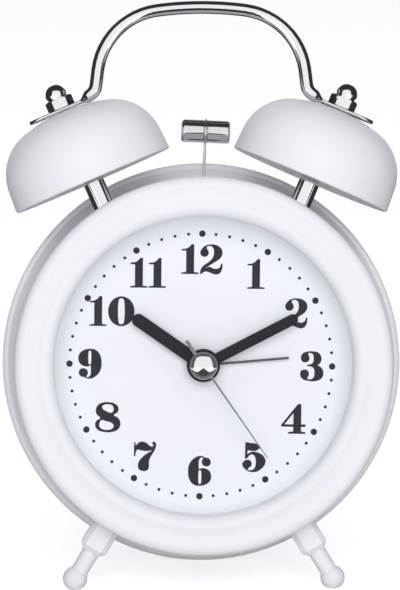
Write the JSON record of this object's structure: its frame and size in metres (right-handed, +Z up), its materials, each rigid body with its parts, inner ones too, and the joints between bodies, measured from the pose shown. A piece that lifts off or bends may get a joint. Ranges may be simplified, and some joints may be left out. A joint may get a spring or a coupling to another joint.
{
  "type": "twin bell alarm clock",
  "caption": "Round white desk alarm clock leaning back on ball feet, with bells on posts, a carry handle, a swinging hammer and quartz hands behind glass.",
  "frame": {"origin": "middle of the footprint on the surface that the clock stands on", "axes": "+Z up, the dial faces -Y and leans back, +X to the right as seen from the front"},
  "size_m": [0.091, 0.0537, 0.1278],
  "materials": {
    "white_enamel": "gloss",
    "clear_glass": "clear",
    "dial_white": "satin",
    "black_paint": "satin",
    "dark_needle": "satin",
    "silver_needle": "satin",
    "chrome": "polished",
    "turned_steel": "turned",
    "soft_iron": "rolled",
    "copper_winding": "enamelled wire",
    "white_plastic": "fine grain",
    "dark_plastic": "fine grain",
    "movement_plastic": "moulded",
    "brass": "stamped",
    "board": "printed",
    "battery_jacket": "gloss"
  },
  "bodies": {
    "clock": {"drum_case": "white_enamel", "front_bezel": "white_enamel", "left_bell": "white_enamel", "right_bell": "white_enamel", "left_foot": "white_enamel", "right_foot": "white_enamel", "lens": "clear_glass", "dial": "dial_white", "dial_ring": "dial_white", "left_bell_post": "chrome", "right_bell_post": "chrome", "acorn_nuts": "chrome", "carry_handle": "chrome", "post_nuts": "turned_steel", "foot_nuts": "turned_steel", "hammer_pin": "turned_steel", "bracket_screws": "turned_steel", "cover_screws": "turned_steel", "movement_screws": "turned_steel", "battery_contacts": "turned_steel", "quartz_crystal": "turned_steel", "striker_core": "soft_iron", "striker_bracket": "soft_iron", "stator": "soft_iron", "striker_coil": "copper_winding", "drive_coil": "copper_winding", "rear_cover": "white_plastic", "movement_front": "movement_plastic", "movement_rear": "movement_plastic", "circuit_board": "board", "battery": "battery_jacket"},
    "hammer": {"hammer_head": "turned_steel", "hammer_rod": "turned_steel", "hammer_lever": "dark_plastic", "armature": "soft_iron"},
    "seconds": {"second_hand": "silver_needle", "hand_cap": "chrome", "second_wheel": "brass"},
    "minutes": {"minute_hand": "black_paint", "minute_pipe": "brass"},
    "hours": {"hour_hand": "black_paint", "hour_wheel": "brass"},
    "alarm_time": {"alarm_hand": "dark_needle", "alarm_wheel": "brass"},
    "third": {"third_wheel": "movement_plastic"},
    "centre": {"centre_wheel": "brass"},
    "step": {"step_wheel": "movement_plastic"},
    "motor": {"rotor": "soft_iron"},
    "intermediate": {"intermediate_wheel": "movement_plastic"},
    "time_setting": {"time_set_shaft": "brass", "time_knob": "dark_plastic"},
    "alarm_setting": {"alarm_set_shaft": "brass", "alarm_knob": "dark_plastic"},
    "switch": {"alarm_switch": "dark_plastic"},
    "door": {"battery_door": "white_plastic"}
  },
  "joints": [
    {"name": "time_knob_turn", "type": "hinge", "parent": "clock", "child": "time_setting", "pos_m": [-0.01866, 0.00131, 0.05228], "axis": [0, 0.9826, -0.1857], "continuous": true},
    {"name": "intermediate_turn", "type": "hinge", "parent": "clock", "child": "intermediate", "pos_m": [-0.00866, 0.00131, 0.05228], "axis": [0, 0.9826, -0.1857], "continuous": true},
    {"name": "minute_hand_turn", "type": "hinge", "parent": "clock", "child": "minutes", "pos_m": [0, 0.00038, 0.04737], "axis": [0, 0.9826, -0.1857], "continuous": true},
    {"name": "hour_hand_turn", "type": "hinge", "parent": "clock", "child": "hours", "pos_m": [0, 0.00038, 0.04737], "axis": [0, 0.9826, -0.1857], "continuous": true},
    {"name": "alarm_knob_turn", "type": "hinge", "parent": "clock", "child": "alarm_setting", "pos_m": [0.01522, 0.0013, 0.05223], "axis": [0, 0.9826, -0.1857], "continuous": true},
    {"name": "alarm_hand_turn", "type": "hinge", "parent": "clock", "child": "alarm_time", "pos_m": [0, 0.00038, 0.04737], "axis": [0, 0.9826, -0.1857], "continuous": true},
    {"name": "second_hand_turn", "type": "hinge", "parent": "clock", "child": "seconds", "pos_m": [0, 0.00038, 0.04737], "axis": [0, 0.9826, -0.1857], "continuous": true},
    {"name": "third_wheel_turn", "type": "hinge", "parent": "clock", "child": "third", "pos_m": [0.0038, 0.0019, 0.05538], "axis": [0, 0.9826, -0.1857], "continuous": true},
    {"name": "centre_wheel_turn", "type": "hinge", "parent": "clock", "child": "centre", "pos_m": [0, 0.00038, 0.04737], "axis": [0, 0.9826, -0.1857], "continuous": true},
    {"name": "step_wheel_turn", "type": "hinge", "parent": "clock", "child": "step", "pos_m": [0.00874, -0.00021, 0.04424], "axis": [0, 0.9826, -0.1857], "continuous": true},
    {"name": "rotor_turn", "type": "hinge", "parent": "clock", "child": "motor", "pos_m": [0.01365, -0.00085, 0.04086], "axis": [0, 0.9826, -0.1857], "continuous": true},
    {"name": "hammer_swing", "type": "hinge", "parent": "clock", "child": "hammer", "pos_m": [0, 0.00651, 0.0798], "axis": [0, 0.9826, -0.1857], "range_deg": [-9.3, 3.9], "stiffness_Nm_per_rad": 0.004},
    {"name": "alarm_switch_slide", "type": "slide", "parent": "clock", "child": "switch", "axis": [1, 0, 0], "range_m": [0, 0.004]},
    {"name": "battery_door_off", "type": "slide", "parent": "clock", "child": "door", "axis": [0, 0.9826, -0.1857], "range_m": [0, 0.02]}
  ],
  "couplings": [
    {"joint": "intermediate_turn", "follows": "time_knob_turn", "ratio": -0.33333},
    {"joint": "minute_hand_turn", "follows": "time_knob_turn", "ratio": 1},
    {"joint": "hour_hand_turn", "follows": "time_knob_turn", "ratio": 0.083333},
    {"joint": "alarm_hand_turn", "follows": "alarm_knob_turn", "ratio": -1},
    {"joint": "third_wheel_turn", "follows": "second_hand_turn", "ratio": -0.13333},
    {"joint": "centre_wheel_turn", "follows": "second_hand_turn", "ratio": 0.016667},
    {"joint": "step_wheel_turn", "follows": "second_hand_turn", "ratio": -6},
    {"joint": "rotor_turn", "follows": "second_hand_turn", "ratio": 30}
  ]
}
